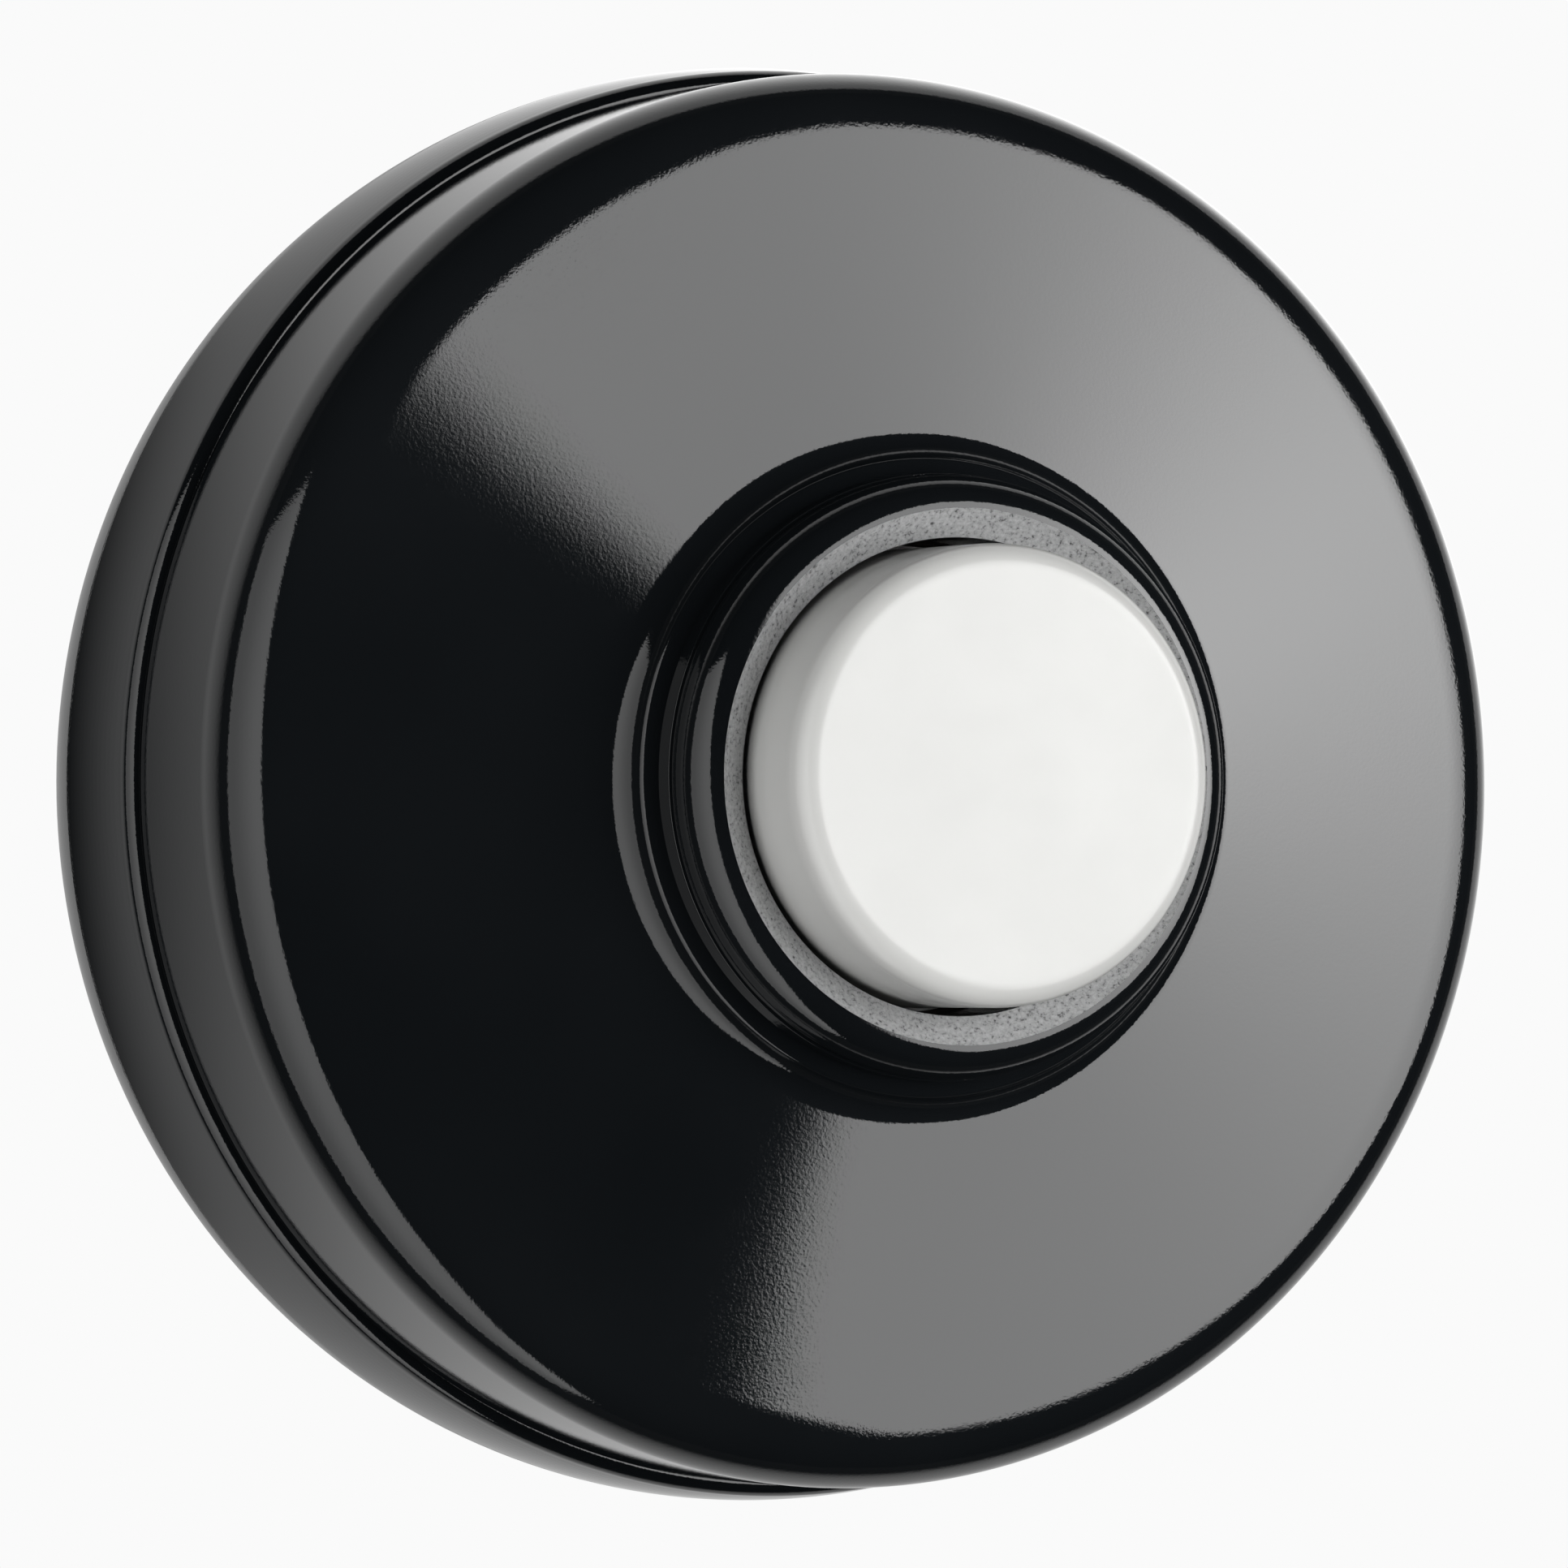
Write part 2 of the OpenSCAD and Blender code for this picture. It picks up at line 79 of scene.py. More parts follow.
BASE_R = lying_box("base")[1][0]
NECK_Z = lying_box("base")[1][2]
CAP_R = lying_box("cap")[1][0]
RIM_Z = lying_box("seal_ring")[1][2]
SEAL_R = lying_box("seal_ring")[1][0]
SEAL_Z = lying_box("seal_ring")[0][2]
RING_Z = lying_box("cap")[1][2]
BUTTON_FRONT_Z = lying_box("push_button")[1][2]
FLANGE_Z = lying_box("push_button")[0][2]
FLANGE_R = lying_box("push_button")[1][0]
PLATE_R = lying_box("retainer_plate")[1][0]
PLATE_Z = lying_box("retainer_plate")[0][2]
PLATE_TOP_Z = lying_box("retainer_plate")[1][2]
LEAF_Z = lying_box("contact_leaf")[0][2]
LEAF_TOP_Z = lying_box("contact_leaf")[1][2]
LEAF_TIP_X = lying_box("contact_leaf")[1][0]
STRIP_Z = lying_box("fixed_strip")[0][2]
STRIP_TOP_Z = lying_box("fixed_strip")[1][2]

BASE_CURVE_R = 18.3
BELLY_Z = 8.0
BASE_EDGE_R = 0.78
SEAT_Z = 11.9
FLOOR_Z = 4.0
CHAMBER_R = 22.5
NECK_R = 26.0
SEAL_BORE_R = 28.7
CAP_BORE_R = 27.4
THREAD_Z = 13.2
THREAD_PITCH = 4.0
WALL_SCREW_Y = 15.0
BOSS_AT_R = 15.8
BOSS_ANGLES = (90, 210, 330)
TERMINAL_X, TERMINAL_Y = 13.0, -11.0
LEAF_ROOT_X = -12.0
CONTACT_X = 8.0
LEAF_SCREWS = ((-15.7, 2.1), (-15.7, -2.1))
STRIP_SCREW = (15.7, 0.0)
GROMMET, GROMMET_R = (11.5, 12.0), 3.6

# threaded inserts: outer radius, and how low they reach
TERMINAL_INSERT_R, LARGE_INSERT_R, LEAF_INSERT_R = 2.4, 1.8, 1.5
LEAF_TERMINAL_Z, LEAF_INSERT_Z, STRIP_INSERT_Z = 6.0, 8.0, 3.5
CAP_INSERT_H = 3.0
INSERT_GAP = 0.02

# the stem under the button
STEM_R, STEM_COLLAR_R, STEM_COLLAR_H, STEM_DEPTH = 2.0, 3.4, 1.2, 6.0

# the contact strips
STRIP_HALF, STRIP_END_X, LUG_END_Y = 3.5, 19.0, 14.2

# how far a cutting shape reaches past what it cuts
PAST = 1.0


# ---- shapes ---------------------------------------------------------------------------

def arc(cx, cz, radius, start, end, steps=10):
    """Points of an arc, angles in degrees."""
    turns = [math.radians(start + (end - start) * i / steps) for i in range(steps + 1)]
    return [(cx + radius * math.cos(a), cz + radius * math.sin(a)) for a in turns]


def fillet(corners, steps=4):
    """A closed outline from (x, y, radius) corners, each rounded by its own radius."""
    points = []
    count = len(corners)
    for i, (x, y, radius) in enumerate(corners):
        here = Vector((x, y))
        if radius <= 0:
            points.append((x, y))
            continue
        back = (Vector(corners[i - 1][:2]) - here).normalized()
        ahead = (Vector(corners[(i + 1) % count][:2]) - here).normalized()
        half = back.angle(ahead) / 2
        reach = radius / math.tan(half)
        centre = here + (back + ahead).normalized() * radius / math.sin(half)
        first = here + back * reach - centre
        last = here + ahead * reach - centre
        sweep = first.angle_signed(last)
        for k in range(steps + 1):
            turned = Matrix.Rotation(-sweep * k / steps, 2) @ first
            points.append(tuple(centre + turned))
    return points


def tightened(outline, near=0.04, shortest=0.3):
    """Adds a point close to each end of every long side, so that shading stays flat there."""
    points = []
    for i, start in enumerate(outline):
        a, b = Vector(start), Vector(outline[(i + 1) % len(outline)])
        points.append(tuple(a))
        length = (b - a).length
        if length > shortest:
            points.append(tuple(a.lerp(b, near / length)))
            points.append(tuple(a.lerp(b, 1 - near / length)))
    return points


def lathe(outline, sides=SIDES):
    """A closed outline of (radius, z) points turned about the z axis."""
    bm = bmesh.new()
    rings = []
    for radius, z in outline:
        if radius < 1e-6:
            rings.append([bm.verts.new((0, 0, z))])
            continue
        turns = [2 * math.pi * k / sides for k in range(sides)]
        rings.append([bm.verts.new((radius * math.cos(a), radius * math.sin(a), z)) for a in turns])
    for i, ring in enumerate(rings):
        after = rings[(i + 1) % len(rings)]
        if len(ring) == 1 and len(after) == 1:
            continue
        for k in range(sides):
            quad = [ring[k % len(ring)], ring[(k + 1) % len(ring)],
                    after[(k + 1) % len(after)], after[k % len(after)]]
            corners = list(dict.fromkeys(quad))
            bm.faces.new(corners)
    bmesh.ops.recalc_face_normals(bm, faces=bm.faces)
    return bm


def slab(outline, low_z, high_z, edge=0.08):
    """A flat plate of that outline with slightly rounded edges."""
    bm = bmesh.new()
    bottom = bm.faces.new([bm.verts.new((x, y, low_z)) for x, y in outline])
    grown = bmesh.ops.extrude_face_region(bm, geom=[bottom])
    raised = [v for v in grown["geom"] if isinstance(v, bmesh.types.BMVert)]
    bmesh.ops.translate(bm, verts=raised, vec=(0, 0, high_z - low_z))
    bmesh.ops.recalc_face_normals(bm, faces=bm.faces)
    if edge > 0:
        rims = [e for e in bm.edges if abs(e.verts[0].co.z - e.verts[1].co.z) < 1e-6]
        bmesh.ops.bevel(bm, geom=rims, offset=edge, segments=2, affect="EDGES", profile=0.5)
    return bm


def box_outline(low, high, radius=0.0):
    """A rectangle's outline with rounded corners."""
    (x0, y0), (x1, y1) = low, high
    corners = [(x0, y0, radius), (x1, y0, radius), (x1, y1, radius), (x0, y1, radius)]
    return fillet(corners)


def rod(radius, low_z, high_z, sides=SMALL_SIDES):
    """A plain cylinder on the z axis."""
    return lathe([(0, low_z), (radius, low_z), (radius, high_z), (0, high_z)], sides)


def moved(bm, x=0.0, y=0.0, z=0.0, turn=0.0):
    """Turns a shape about z, in degrees, then moves it."""
    bm.transform(Matrix.Translation((x, y, z)) @ Matrix.Rotation(math.radians(turn), 4, "Z"))
    return bm


def flipped(bm):
    """Turns a shape upside down about the x axis."""
    bm.transform(Matrix.Rotation(math.pi, 4, "X"))
    return bm


def joined(shapes):
    """Several closed shapes as one."""
    bm = bmesh.new()
    for shape in shapes:
        mesh = bpy.data.meshes.new("part")
        shape.to_mesh(mesh)
        shape.free()
        bm.from_mesh(mesh)
        bpy.data.meshes.remove(mesh)
    return bm


def placed(name, data):
    """A new object with that data, in the scene."""
    obj = bpy.data.objects.new(name, data)
    bpy.context.scene.collection.objects.link(obj)
    return obj


def as_object(name, bm):
    """A shape as an object in the scene."""
    mesh = bpy.data.meshes.new(name)
    bm.to_mesh(mesh)
    bm.free()
    return placed(name, mesh)


def combined(bm, tool, operation="DIFFERENCE"):
    """bm with the tool cut away from it, added to it or intersected with it."""
    obj, other = as_object("work", bm), as_object("tool", tool)
    change = obj.modifiers.new("change", "BOOLEAN")
    change.operation = operation
    change.solver = "EXACT"
    change.object = other
    bpy.context.view_layer.update()
    shaped = obj.evaluated_get(bpy.context.evaluated_depsgraph_get())
    mesh = bpy.data.meshes.new_from_object(shaped)
    result = bmesh.new()
    result.from_mesh(mesh)
    for used in (obj, other):
        bpy.data.objects.remove(used)
    bpy.data.meshes.remove(mesh)
    return result


def ridge(root_r, crest_r, start_z, start_angle, turns):
    """A screw thread's single ridge, run out at both ends."""
    steps = math.ceil(turns * 120)
    root_half, crest_half = 1.1, 0.6
    fade_steps, lowest = 15, 0.2
    bm = bmesh.new()
    rings = []
    for i in range(steps + 1):
        angle = math.radians(start_angle + 360 * turns * i / steps)
        z = start_z + THREAD_PITCH * turns * i / steps
        fade = min(1, lowest + i / fade_steps, lowest + (steps - i) / fade_steps)
        top = root_r + (crest_r - root_r) * fade
        section = ((root_r, z - root_half), (top, z - crest_half),
                   (top, z + crest_half), (root_r, z + root_half))
        rings.append([bm.verts.new((r * math.cos(angle), r * math.sin(angle), h))
                      for r, h in section])
    for a, b in zip(rings, rings[1:]):
        for k in range(4):
            bm.faces.new((a[k], a[(k + 1) % 4], b[(k + 1) % 4], b[k]))
    bm.faces.new(rings[0])
    bm.faces.new(rings[-1])
    bmesh.ops.recalc_face_normals(bm, faces=bm.faces)
    return bm


def screw(head_r, head_h, shank_r, shank_l, slot_turn):
    """A cheese-head screw with its head's underside at z 0, a slot and ringed threads."""
    pitch, depth, point, plain = 0.5, 0.12, 0.35, 0.6
    rings = int((shank_l - plain) / pitch)
    outline = [(0, -shank_l), (shank_r - point, -shank_l), (shank_r, -shank_l + point)]
    for k in range(rings):
        z = -shank_l + point + k * pitch
        outline += [(shank_r - depth, z + 0.4 * pitch), (shank_r, z + 0.8 * pitch)]
    outline += [(shank_r, 0)]
    head = [(shank_r, 0, 0), (head_r, 0, 0.12), (head_r, head_h, 0.3), (0, head_h, 0)]
    outline += fillet(head, 5)[1:]
    slot_half, slot_foot = 0.25, head_h * 0.45
    cut = slab(box_outline((-head_r - PAST, -slot_half), (head_r + PAST, slot_half)),
               slot_foot, head_h + PAST, 0)
    return combined(lathe(tightened(outline), SMALL_SIDES), moved(cut, turn=slot_turn))


def washer(outer_r, inner_r, low_z, high_z, edge=0.08, sides=SMALL_SIDES):
    """A ring of square section with its edges rounded."""
    corners = [(inner_r, low_z, edge), (outer_r, low_z, edge),
               (outer_r, high_z, edge), (inner_r, high_z, edge)]
    return lathe(tightened(fillet(corners, 3)), sides)


# ---- materials ------------------------------------------------------------------------

def blank_material(name):
    """A material with an empty node tree."""
    material = bpy.data.materials.new(name)
    material.use_nodes = True
    material.node_tree.nodes.clear()
    return material


def map_range(tree, start, end, low, high):
    """A node that takes start..end to low..high."""
    node = tree.nodes.new("ShaderNodeMapRange")
    for key, value in zip(("From Min", "From Max", "To Min", "To Max"), (start, end, low, high)):
        node.inputs[key].default_value = value
    return node


class Nodes:
    """Short calls for building one material."""

    def __init__(self, name):
        self.material = blank_material(name)
        self.tree = self.material.node_tree
        self.output = self.add("ShaderNodeOutputMaterial")
        self.shader = self.add("ShaderNodeBsdfPrincipled")
        self.link(self.shader, "BSDF", self.output, "Surface")
        self.place = self.add("ShaderNodeTexCoord")

    def add(self, kind):
        return self.tree.nodes.new(kind)

    def link(self, source, out, target, socket):
        self.tree.links.new(source.outputs[out], target.inputs[socket])

    def set(self, socket, value):
        """Sets a constant on the shader."""
        self.shader.inputs[socket].default_value = value

    def wear(self, source, out, socket):
        """Lets a node drive one of the shader's sockets."""
        self.link(source, out, self.shader, socket)

    def noise(self, scale, detail=3.0, stretch=None, roughness=0.5):
        """Noise over the piece; scale is in cycles per metre."""
        node = self.add("ShaderNodeTexNoise")
        node.inputs["Scale"].default_value = scale
        node.inputs["Detail"].default_value = detail
        node.inputs["Roughness"].default_value = roughness
        if stretch is None:
            self.link(self.place, "Object", node, "Vector")
            return node
        mapping = self.add("ShaderNodeMapping")
        mapping.inputs["Scale"].default_value = stretch
        self.link(self.place, "Object", mapping, "Vector")
        self.link(mapping, "Vector", node, "Vector")
        return node

    def ramp(self, noise, *stops):
        """Colours along a noise: stops are (position, (r, g, b))."""
        node = self.add("ShaderNodeValToRGB")
        points = node.color_ramp.elements
        while len(points) < len(stops):
            points.new(0.5)
        for point, (position, colour) in zip(points, stops):
            point.position = position
            point.color = (*colour, 1)
        self.link(noise, "Fac", node, "Fac")
        return node

    def spread(self, noise, low, high):
        """Noise spread over low..high."""
        node = map_range(self.tree, 0.3, 0.7, low, high)
        self.link(noise, "Fac", node, "Value")
        return node

    def bump(self, noise, depth, before=None):
        """Relief of that depth in metres."""
        node = self.add("ShaderNodeBump")
        node.inputs["Distance"].default_value = depth
        self.link(noise, "Fac", node, "Height")
        if before is not None:
            self.link(before, "Normal", node, "Normal")
        return node


def phenolic():
    """Glossy black moulded phenolic with a fine orange peel."""
    m = Nodes("phenolic")
    m.set("IOR", 1.62)
    black = m.ramp(m.noise(60, 2), (0.3, (0.0065, 0.0078, 0.009)), (0.7, (0.009, 0.0105, 0.012)))
    m.wear(black, "Color", "Base Color")
    m.wear(m.spread(m.noise(900, 3), 0.025, 0.06), "Result", "Roughness")
    wave = m.bump(m.noise(260, 1), 0.000003)
    m.wear(m.bump(m.noise(6800, 3), 0.0000032, wave), "Normal", "Normal")
    return m.material


def ground_phenolic():
    """The collar's front ring, ground after moulding: grey and open-grained."""
    m = Nodes("phenolic_ground")
    m.set("IOR", 1.6)
    grain = m.noise(5200, 4, roughness=0.7)
    pore, grey, pale = (0.02, 0.021, 0.022), (0.35, 0.353, 0.356), (0.52, 0.523, 0.528)
    m.wear(m.ramp(grain, (0.32, pore), (0.44, grey), (0.7, pale)), "Color", "Base Color")
    m.wear(m.spread(m.noise(2400, 3), 0.34, 0.5), "Result", "Roughness")
    m.wear(m.bump(grain, 0.000012), "Normal", "Normal")
    return m.material


def white_urea():
    """The button's smooth white moulding."""
    m = Nodes("button_white")
    m.set("IOR", 1.5)
    white = m.ramp(m.noise(110, 2), (0.3, (0.79, 0.79, 0.77)), (0.7, (0.83, 0.83, 0.81)))
    m.wear(white, "Color", "Base Color")
    m.wear(m.spread(m.noise(700, 2), 0.16, 0.26), "Result", "Roughness")
    m.wear(m.bump(m.noise(1500, 2), 0.000002), "Normal", "Normal")
    return m.material


def matt(name, dark, light, scale, roughness, relief):
    """A matt moulded or pressed material with a fine grain."""
    m = Nodes(name)
    grain = m.noise(scale, 4, roughness=0.65)
    rough = m.spread(m.noise(scale / 3, 3), roughness - 0.08, roughness + 0.06)
    m.wear(m.ramp(grain, (0.3, dark), (0.7, light)), "Color", "Base Color")
    m.wear(rough, "Result", "Roughness")
    m.wear(m.bump(grain, relief), "Normal", "Normal")
    return m.material


def metal(name, dark, light, roughness, relief, stretch=(1, 1, 1), scale=900):
    """Metal with drawn or turned marks and slightly uneven tone."""
    m = Nodes(name)
    m.set("Metallic", 1.0)
    marks = m.noise(scale, 4, stretch, 0.6)
    tone = m.noise(140, 3)
    rough = m.spread(marks, roughness - 0.07, roughness + 0.09)
    m.wear(m.ramp(tone, (0.3, dark), (0.7, light)), "Color", "Base Color")
    m.wear(rough, "Result", "Roughness")
    m.wear(m.bump(marks, relief), "Normal", "Normal")
    return m.material


def make_materials():
    """Every material by the name of the slot it fills."""
    return {
        "phenolic": phenolic(),
        "phenolic_ground": ground_phenolic(),
        "button_white": white_urea(),
        "rubber": matt("rubber", (0.012, 0.012, 0.012), (0.03, 0.03, 0.03), 1800, 0.72, 0.00001),
        "fibre": matt("fibre", (0.012, 0.01, 0.009), (0.03, 0.022, 0.018), 2600, 0.85, 0.00002),
        "brass": metal("brass", (0.62, 0.42, 0.15), (0.76, 0.56, 0.26), 0.24, 0.000003),
        "spring_bronze": metal("spring_bronze", (0.62, 0.36, 0.16), (0.74, 0.48, 0.24), 0.3,
                               0.000003, (0.06, 1, 1), 2600),
        "silver": metal("silver", (0.78, 0.77, 0.74), (0.88, 0.87, 0.85), 0.16, 0.000002),
        "steel": metal("steel", (0.5, 0.51, 0.52), (0.66, 0.66, 0.65), 0.3, 0.000004),
    }


MATERIALS = make_materials()
SLOT_OF = {p["node"]: p["material_slot"] for p in frame["record"]["subparts"]}


# ---- putting pieces into the frame ----------------------------------------------------

def settle(name, bm, nodes, body=None, sharp=30, extra=()):
    """A finished piece: stood up in the row frame, shaded, given its slot's material, and
    put in place of its CAD nodes. body None leaves it free."""
    obj = as_object(name, bm)
    obj.data.transform(STAND_UP)
    obj.data.shade_smooth()
    obj.data.set_sharp_from_angle(angle=math.radians(sharp))
    slot = SLOT_OF[nodes[0]]
    for material in (slot, *extra):
        obj.data.materials.append(MATERIALS[material])
    if body:
        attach(obj, body)
    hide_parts(*nodes)
    return obj


def polar(radius, angle):
    """x and y of a point at that radius and angle in degrees."""
    return radius * math.cos(math.radians(angle)), radius * math.sin(math.radians(angle))


# ---- case -----------------------------------------------------------------------------

def base_outline():
    """Half-section of the base: bulging side, rounded front edge, seal groove, neck, chamber."""
    back = math.degrees(math.asin(BELLY_Z / BASE_CURVE_R))
    front = math.degrees(math.asin((SEAT_Z - BASE_EDGE_R - BELLY_Z) / BASE_CURVE_R))
    edge_r = BASE_R - BASE_CURVE_R
    edge_r += (BASE_CURVE_R - BASE_EDGE_R) * math.cos(math.radians(front))
    side = arc(BASE_R - BASE_CURVE_R, BELLY_Z, BASE_CURVE_R, -back, front, 28)
    edge = arc(edge_r, SEAT_Z - BASE_EDGE_R, BASE_EDGE_R, front, 90, 12)
    groove_out, groove_in = SEAL_R + 0.3, SEAL_BORE_R - 0.3
    inside = [
        (groove_out, SEAT_Z, 0.12), (groove_out, SEAL_Z, 0.1), (groove_in, SEAL_Z, 0.1),
        (groove_in, SEAT_Z, 0.12), (NECK_R, SEAT_Z, 0.25), (NECK_R, NECK_Z, 0.4),
        (CHAMBER_R, NECK_Z, 0.35), (CHAMBER_R, FLOOR_Z, 0.8), (0, FLOOR_Z, 0), (0, 0, 0),
    ]
    start = (*edge[-1], 0)
    return side + edge[1:] + fillet([start, *inside])[1:]


def pads():
    """Raised pads that carry the contacts, cut to the chamber's wall."""
    reach, outer_x, low_y, high_y = CHAMBER_R + 0.8, 24, -17.0, 6.0
    leaf_x, lug_x, lug_y, strip_x = LEAF_ROOT_X - 0.3, -9, -4.6, 10.5
    foot, corner, edge = FLOOR_Z - PAST, 0.5, 0.25
    left = slab(box_outline((-outer_x, low_y), (leaf_x, high_y), corner), foot, LEAF_Z, edge)
    lug = slab(box_outline((-outer_x, low_y), (lug_x, lug_y), corner), foot, LEAF_Z, edge)
    right = slab(box_outline((strip_x, low_y), (outer_x, high_y), corner), foot, STRIP_Z, edge)
    both = combined(left, lug, "UNION")
    return combined(joined([both, right]), rod(reach, 0, NECK_Z, SIDES), "INTERSECT")


def upright_slot(width, length, low_z, high_z):
    """A cutting shape for a slot with round ends that runs up the wall."""
    reach = length / 2
    return slab(box_outline((-width / 2, -reach), (width / 2, reach), width / 2 - 0.01),
                low_z, high_z, 0)


def build_base():
    """The base with its thread, contact pads, wall slots and sockets for the fixings."""
    crest_r, thread_turns = 26.9, 0.75
    body = lathe(tightened(base_outline()))
    body = combined(body, ridge(NECK_R - 0.4, crest_r, THREAD_Z, 0, thread_turns), "UNION")
    body = combined(body, pads(), "UNION")
    slot, well, well_depth = (4.5, 8.5), (8.8, 12.8), 1.5
    holes = []
    for y in (-WALL_SCREW_Y, WALL_SCREW_Y):
        holes.append(moved(upright_slot(*slot, -PAST, FLOOR_Z + PAST), y=y))
    sockets = [
        (GROMMET, GROMMET_R + 0.05, -PAST, FLOOR_Z),
        ((-TERMINAL_X, TERMINAL_Y), TERMINAL_INSERT_R + INSERT_GAP, LEAF_TERMINAL_Z, LEAF_Z),
        ((TERMINAL_X, TERMINAL_Y), TERMINAL_INSERT_R + INSERT_GAP, STRIP_INSERT_Z, STRIP_Z),
        (STRIP_SCREW, LARGE_INSERT_R + INSERT_GAP, STRIP_INSERT_Z, STRIP_Z),
        (LEAF_SCREWS[0], LEAF_INSERT_R + INSERT_GAP, LEAF_INSERT_Z, LEAF_Z),
        (LEAF_SCREWS[1], LEAF_INSERT_R + INSERT_GAP, LEAF_INSERT_Z, LEAF_Z),
    ]
    for (x, y), radius, low, high in sockets:
        holes.append(moved(rod(radius, low, high + PAST), x, y))
    body = combined(body, joined(holes))
    wells = [moved(upright_slot(*well, FLOOR_Z - well_depth, FLOOR_Z + PAST), y=y)
             for y in (-WALL_SCREW_Y, WALL_SCREW_Y)]
    body = combined(body, joined(wells))
    return settle("base_body", body, ["base"], "base")


def build_seal():
    """The rubber ring in the seam."""
    ring = washer(SEAL_R, SEAL_BORE_R, SEAL_Z, RIM_Z, 0.35, SIDES)
    return settle("seal", ring, ["seal_ring"], "seal_ring")


SHOULDER_Z, SHOULDER_R = 18.9, 3.2
EASE_R, EASE_FROM = 12.0, 70
CONE_SLOPE = 14.5
COVE_R, STEP_R, STEP_SLOPE, EDGE_LEAN = 1.8, 14.05, 26, 20
LIP_R, LIP_ROUND = 13.3, 1.85
RING_R, RING_DISH, BORE_R = 11.8, 0.85, 10.5


def face_z(radius):
    """Height of the conical face."""
    slope = math.radians(CONE_SLOPE)
    start_r = CAP_R - SHOULDER_R + SHOULDER_R * math.sin(slope)
    start_z = SHOULDER_Z + SHOULDER_R * math.cos(slope)
    return start_z + (start_r - radius) * math.tan(slope)


def shoulder():
    """The cap's rounded shoulder, which eases into the cone on a wider curve."""
    start, slope = math.radians(EASE_FROM), math.radians(CONE_SLOPE)
    ease_c = CAP_R - SHOULDER_R - (EASE_R - SHOULDER_R) * math.cos(start)
    ease_z = face_z(ease_c + EASE_R * math.sin(slope)) - EASE_R * math.cos(slope)
    centre_z = ease_z + (EASE_R - SHOULDER_R) * math.sin(start)
    side = arc(CAP_R - SHOULDER_R, centre_z, SHOULDER_R, 0, EASE_FROM, 22)
    return side + arc(ease_c, ease_z, EASE_R, EASE_FROM, 90 - CONE_SLOPE, 6)[1:]


def cap_outline():
    """Half-section of the cap, from its rim over the face and collar, and back inside."""
    slope = math.radians(CONE_SLOPE)
    rim_edge, step_edge, groove = 0.05, 0.35, 0.1
    cove_c = STEP_R + COVE_R
    cove_z = face_z(cove_c - COVE_R * math.sin(slope)) + COVE_R * math.cos(slope)
    edge_c, edge_z = polar(COVE_R + step_edge, 180 + EDGE_LEAN)
    edge_c, edge_z = cove_c + edge_c, cove_z + edge_z
    foot_r = LIP_R + groove
    rising = math.radians(STEP_SLOPE)
    foot_z = edge_z + step_edge / math.cos(rising) + (edge_c - foot_r) * math.tan(rising)
    lip_c = LIP_R - LIP_ROUND
    lip_end = math.acos((RING_R - lip_c) / LIP_ROUND)
    lip_z = RING_Z - LIP_ROUND * math.sin(lip_end)
    outside = arc(CAP_R - rim_edge, RIM_Z + rim_edge, rim_edge, -90, 0, 5)
    outside += shoulder()
    outside += arc(cove_c, cove_z, COVE_R, 270 - CONE_SLOPE, 180 + EDGE_LEAN, 14)
    outside += arc(edge_c, edge_z, step_edge, EDGE_LEAN, 90 - STEP_SLOPE, 8)
    foot = [(foot_r, foot_z, 0), (foot_r, lip_z - 5 * groove, 0.04),
            (LIP_R - groove, lip_z - 4.5 * groove, 0.03), (LIP_R, lip_z - 3.5 * groove, 0.05)]
    outside += fillet([*foot, (LIP_R, lip_z, 0)], 3)[:-1]
    outside += arc(lip_c, lip_z, LIP_ROUND, 0, math.degrees(lip_end), 18)
    wall, counterbore, bore_end, roof_corner = 3.1, 12.8, 24.0, 18.2
    rise = wall / math.cos(slope)
    inner = CAP_BORE_R - 2.2
    inside = [
        (BORE_R, RING_Z - RING_DISH, 0.1), (BORE_R, bore_end, 0.15),
        (counterbore, bore_end, 0.1), (counterbore, face_z(counterbore) - rise, 0.3),
        (inner, face_z(inner) - rise, 0.8), (CAP_BORE_R, roof_corner, 0.5),
        (CAP_BORE_R, RIM_Z, 0.3), (CAP_R - rim_edge, RIM_Z, 0),
    ]
    return outside + fillet([outside[-1] + (0,), *inside])[1:-1]


def build_cap():
    """The cap with its thread and screw bosses; its front ring is ground."""
    crest_r, thread_turns = 26.5, 0.9
    body = lathe(tightened(cap_outline()))
    thread = ridge(CAP_BORE_R + 0.4, crest_r, THREAD_Z, 180, thread_turns)
    body = combined(body, thread, "UNION")
    boss_r, boss_top = 2.9, 23.2
    corners = [(0, PLATE_TOP_Z, 0), (boss_r, PLATE_TOP_Z, 0.25), (boss_r, boss_top, 0),
               (0, boss_top, 0)]
    socket_top = PLATE_TOP_Z + CAP_INSERT_H + 0.05
    bosses, sockets = [], []
    for angle in BOSS_ANGLES:
        x, y = polar(BOSS_AT_R, angle)
        bosses.append(moved(lathe(fillet(corners), SMALL_SIDES), x, y))
        sockets.append(moved(rod(LARGE_INSERT_R + INSERT_GAP, PLATE_Z, socket_top), x, y))
    body = combined(body, joined(bosses), "UNION")
    body = combined(body, joined(sockets))
    cap = settle("cap_body", body, ["cap"], "cap", extra=("phenolic_ground",))
    margin = 0.02
    for face in cap.data.polygons:
        out = math.hypot(face.center.x, face.center.z) / MM
        ahead = -face.center.y / MM
        if BORE_R + margin < out < RING_R + margin and ahead > RING_Z - RING_DISH - 5 * margin:
            face.material_index = 1
    return cap


# ---- button and its retainer ----------------------------------------------------------

